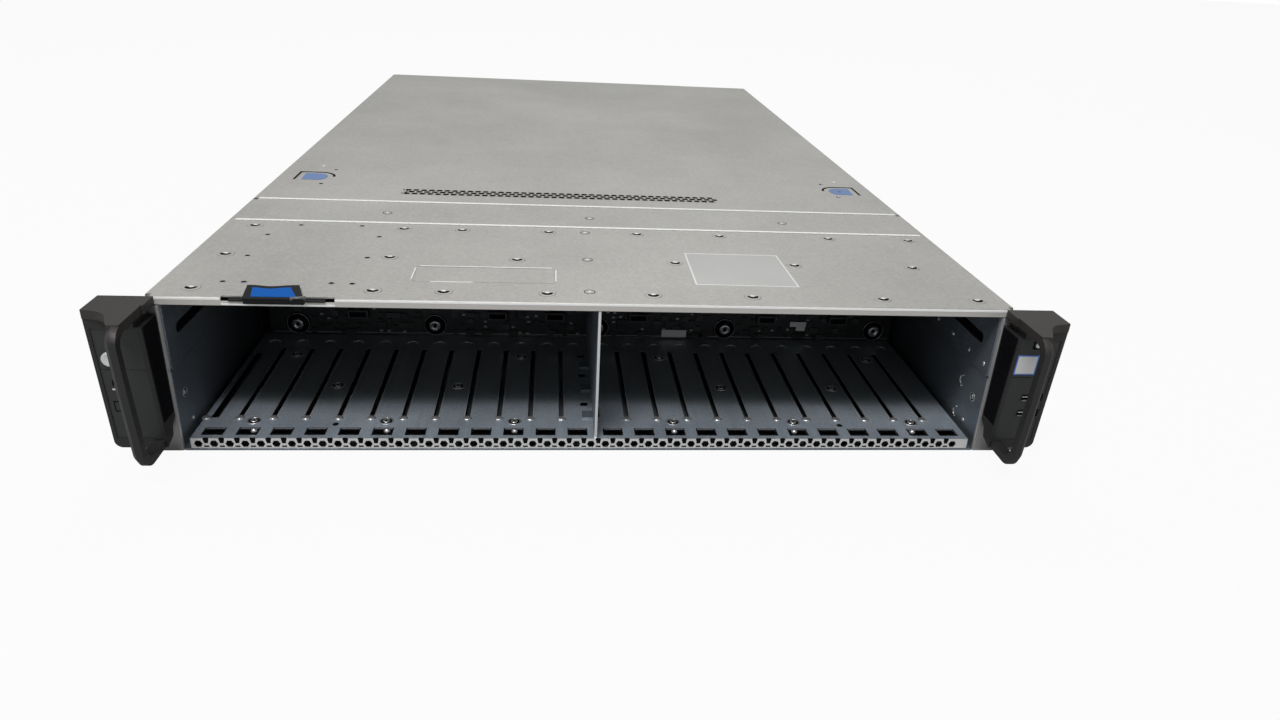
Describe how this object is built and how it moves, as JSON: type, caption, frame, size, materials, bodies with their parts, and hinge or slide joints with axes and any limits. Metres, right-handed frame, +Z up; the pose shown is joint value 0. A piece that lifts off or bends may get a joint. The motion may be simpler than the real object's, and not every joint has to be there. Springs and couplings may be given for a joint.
{
  "type": "rack server",
  "caption": "Two-unit rack server with open upright drive bays behind looped front ears, a sliding top cover and two plug-in power supplies.",
  "frame": {"origin": "bottom centre of the whole object's box", "axes": "+Y from the drive bays to the rear wall, +Z up, +X to the right seen from the front"},
  "size_m": [0.4826, 0.8292, 0.0888],
  "materials": {
    "cover_steel": "satin",
    "zinc_steel": "satin",
    "bright_steel": "polished",
    "ear_plastic": "matte",
    "panel_plastic": "matte",
    "black_board": "satin",
    "green_board": "satin",
    "connector_plastic": "matte",
    "service_plastic": "matte",
    "button_plastic": "satin",
    "light_pipe": "glossy",
    "fan_plastic": "matte",
    "heatsink_aluminium": "satin",
    "standoff_brass": "satin",
    "handle_plastic": "matte",
    "release_plastic": "matte"
  },
  "bodies": {
    "chassis": {"air_duct": "fan_plastic", "backplane_board": "black_board", "backplane_screws": "bright_steel", "bay_ceiling": "zinc_steel", "bay_divider": "zinc_steel", "bay_floor": "zinc_steel", "bay_wall_left": "zinc_steel", "bay_wall_right": "zinc_steel", "board_standoffs": "standoff_brass", "chassis_tray": "zinc_steel", "cpu_heatsinks": "heatsink_aluminium", "cpu_sockets": "connector_plastic", "drive_connectors": "connector_plastic", "ear_board_left": "black_board", "ear_board_right": "black_board", "ear_housing_left": "ear_plastic", "ear_housing_right": "ear_plastic", "ear_panel_left": "panel_plastic", "ear_panel_right": "panel_plastic", "fan_frames": "fan_plastic", "fan_wall": "zinc_steel", "front_cover": "cover_steel", "memory_modules": "green_board", "memory_slots": "connector_plastic", "middle_cover": "cover_steel", "motherboard": "green_board", "power_board": "black_board", "psu_bay": "zinc_steel", "rail_studs": "bright_steel", "rear_panel": "zinc_steel", "rear_ports": "bright_steel", "riser_cards": "green_board", "slot_covers": "zinc_steel", "status_lens": "light_pipe", "usb_sockets": "bright_steel"},
    "rear_cover": {"rear_cover": "cover_steel", "cover_skirt_left": "cover_steel", "cover_skirt_right": "cover_steel"},
    "cover_latch_left": {"cover_latch_left": "cover_steel"},
    "cover_latch_right": {"cover_latch_right": "cover_steel"},
    "service_tag": {"service_tag": "service_plastic"},
    "power_button": {"power_button": "button_plastic"},
    "fan_rotor_1": {"fan_rotor_1": "fan_plastic"},
    "fan_rotor_2": {"fan_rotor_2": "fan_plastic"},
    "fan_rotor_3": {"fan_rotor_3": "fan_plastic"},
    "fan_rotor_4": {"fan_rotor_4": "fan_plastic"},
    "psu_1": {"psu_1_case": "zinc_steel", "psu_1_inlet": "connector_plastic", "psu_1_handle": "handle_plastic", "psu_1_guard": "bright_steel"},
    "psu_1_latch": {"psu_1_latch": "release_plastic"},
    "psu_1_rotor": {"psu_1_rotor": "fan_plastic"},
    "psu_2": {"psu_2_case": "zinc_steel", "psu_2_inlet": "connector_plastic", "psu_2_handle": "handle_plastic", "psu_2_guard": "bright_steel"},
    "psu_2_latch": {"psu_2_latch": "release_plastic"},
    "psu_2_rotor": {"psu_2_rotor": "fan_plastic"}
  },
  "joints": [
    {"name": "rear_cover_slide", "type": "slide", "parent": "chassis", "child": "rear_cover", "axis": [0, 1, 0], "range_m": [0, 0.018]},
    {"name": "cover_latch_left_press", "type": "hinge", "parent": "rear_cover", "child": "cover_latch_left", "pos_m": [-0.1955, -0.14073, 0.0857], "axis": [-1, 0, 0], "range_deg": [0, 5], "stiffness_Nm_per_rad": 0.8},
    {"name": "cover_latch_right_press", "type": "hinge", "parent": "rear_cover", "child": "cover_latch_right", "pos_m": [0.1955, -0.14073, 0.0857], "axis": [-1, 0, 0], "range_deg": [0, 5], "stiffness_Nm_per_rad": 0.8},
    {"name": "service_tag_slide", "type": "slide", "parent": "chassis", "child": "service_tag", "axis": [0, -1, 0], "range_m": [0, 0.055]},
    {"name": "power_button_press", "type": "slide", "parent": "chassis", "child": "power_button", "axis": [0, 1, 0], "range_m": [0, 0.001], "stiffness_N_per_m": 900},
    {"name": "fan_rotor_1_spin", "type": "hinge", "parent": "chassis", "child": "fan_rotor_1", "pos_m": [-0.156, -0.13223, 0.043], "axis": [0, 1, 0], "continuous": true},
    {"name": "fan_rotor_2_spin", "type": "hinge", "parent": "chassis", "child": "fan_rotor_2", "pos_m": [-0.052, -0.13223, 0.043], "axis": [0, 1, 0], "continuous": true},
    {"name": "fan_rotor_3_spin", "type": "hinge", "parent": "chassis", "child": "fan_rotor_3", "pos_m": [0.052, -0.13223, 0.043], "axis": [0, 1, 0], "continuous": true},
    {"name": "fan_rotor_4_spin", "type": "hinge", "parent": "chassis", "child": "fan_rotor_4", "pos_m": [0.156, -0.13223, 0.043], "axis": [0, 1, 0], "continuous": true},
    {"name": "psu_1_slide", "type": "slide", "parent": "chassis", "child": "psu_1", "axis": [0, 1, 0], "range_m": [0, 0.19]},
    {"name": "psu_1_latch_press", "type": "hinge", "parent": "psu_1", "child": "psu_1_latch", "pos_m": [0.2103, 0.37657, 0.0212], "axis": [0, 0, 1], "range_deg": [0, 6], "stiffness_Nm_per_rad": 0.5},
    {"name": "psu_1_rotor_spin", "type": "hinge", "parent": "psu_1", "child": "psu_1_rotor", "pos_m": [0.1905, 0.37777, 0.0212], "axis": [0, 1, 0], "continuous": true},
    {"name": "psu_2_slide", "type": "slide", "parent": "chassis", "child": "psu_2", "axis": [0, 1, 0], "range_m": [0, 0.19]},
    {"name": "psu_2_latch_press", "type": "hinge", "parent": "psu_2", "child": "psu_2_latch", "pos_m": [0.2103, 0.37657, 0.0624], "axis": [0, 0, 1], "range_deg": [0, 6], "stiffness_Nm_per_rad": 0.5},
    {"name": "psu_2_rotor_spin", "type": "hinge", "parent": "psu_2", "child": "psu_2_rotor", "pos_m": [0.1905, 0.37777, 0.0624], "axis": [0, 1, 0], "continuous": true}
  ]
}
